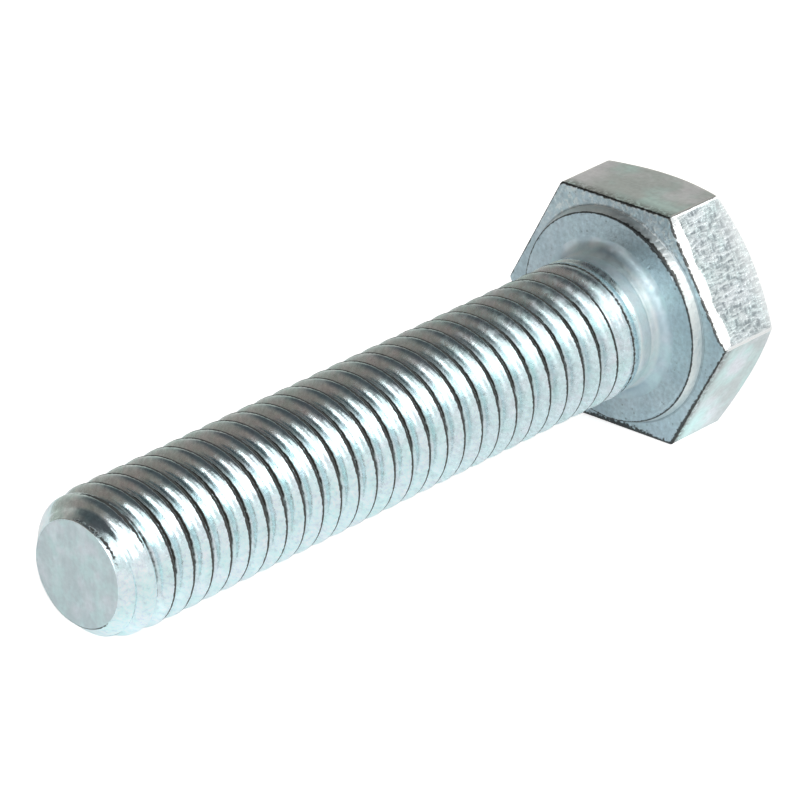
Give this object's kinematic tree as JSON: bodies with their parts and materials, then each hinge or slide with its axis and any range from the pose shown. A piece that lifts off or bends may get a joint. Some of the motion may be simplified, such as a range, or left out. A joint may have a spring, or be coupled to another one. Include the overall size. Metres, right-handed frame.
{
  "type": "hex bolt",
  "caption": "Hexagon head bolt threaded up to the head, with a raised washer face under the head and a chamfered flat point.",
  "frame": {"origin": "middle of the head's outer face", "axes": "+X along the bolt's axis, out of the head's outer face, so the shank runs towards -X; +Z through the middle of a wrench flat"},
  "size_m": [0.034, 0.0116, 0.01],
  "materials": {
    "zinc_plated_steel": "satin"
  },
  "bodies": {
    "root": {"hex_bolt": "zinc_plated_steel"}
  },
  "joints": []
}
